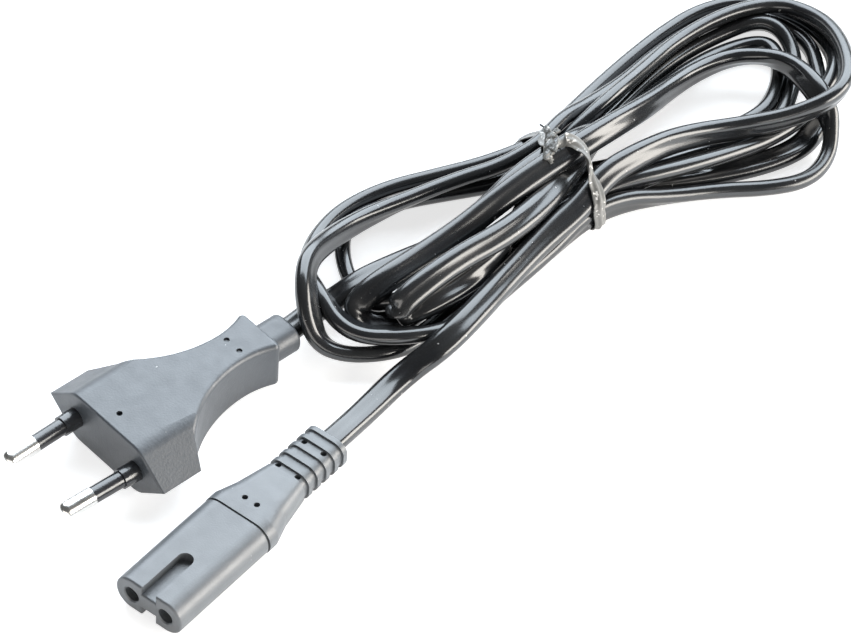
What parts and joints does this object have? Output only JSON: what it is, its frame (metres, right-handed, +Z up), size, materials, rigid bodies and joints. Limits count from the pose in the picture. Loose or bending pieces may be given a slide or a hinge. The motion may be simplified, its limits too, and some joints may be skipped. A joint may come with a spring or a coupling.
{
  "type": "figure eight power connector",
  "caption": "Figure eight mains connector moulded on a flat cord, which is wound in a tied hank and ends in a slim pinned plug.",
  "frame": {"origin": "middle of the connector's underside, on the surface it lies on", "axes": "+Y from the mating face towards the cord, +Z up, +X to the connector's right"},
  "size_m": [0.0853, 0.2271, 0.0165],
  "materials": {
    "connector_shell": "satin",
    "carrier_plastic": "matte",
    "contact_metal": "satin",
    "copper": "satin",
    "core_insulation_left": "satin",
    "core_insulation_right": "satin",
    "plug_shell": "fine grain",
    "bridge_plastic": "matte",
    "pin_metal": "polished",
    "sleeve_plastic": "satin",
    "cord_sheath": "gloss",
    "tie_skin": "satin",
    "tie_core": "satin"
  },
  "bodies": {
    "root": {"connector_body": "connector_shell", "connector_carrier": "carrier_plastic", "connector_contact_left": "contact_metal", "connector_conductor_left": "copper", "connector_core_left": "core_insulation_left", "connector_contact_right": "contact_metal", "connector_conductor_right": "copper", "connector_core_right": "core_insulation_right", "plug_body": "plug_shell", "plug_bridge": "bridge_plastic", "plug_pin_left": "pin_metal", "pin_sleeve_left": "sleeve_plastic", "plug_conductor_left": "copper", "plug_core_left": "core_insulation_left", "plug_pin_right": "pin_metal", "pin_sleeve_right": "sleeve_plastic", "plug_conductor_right": "copper", "plug_core_right": "core_insulation_right", "cord_to_connector": "cord_sheath", "cord_hank": "cord_sheath", "cord_to_plug": "cord_sheath", "tie_ribbon": "tie_skin", "tie_wire": "tie_core"}
  },
  "joints": []
}
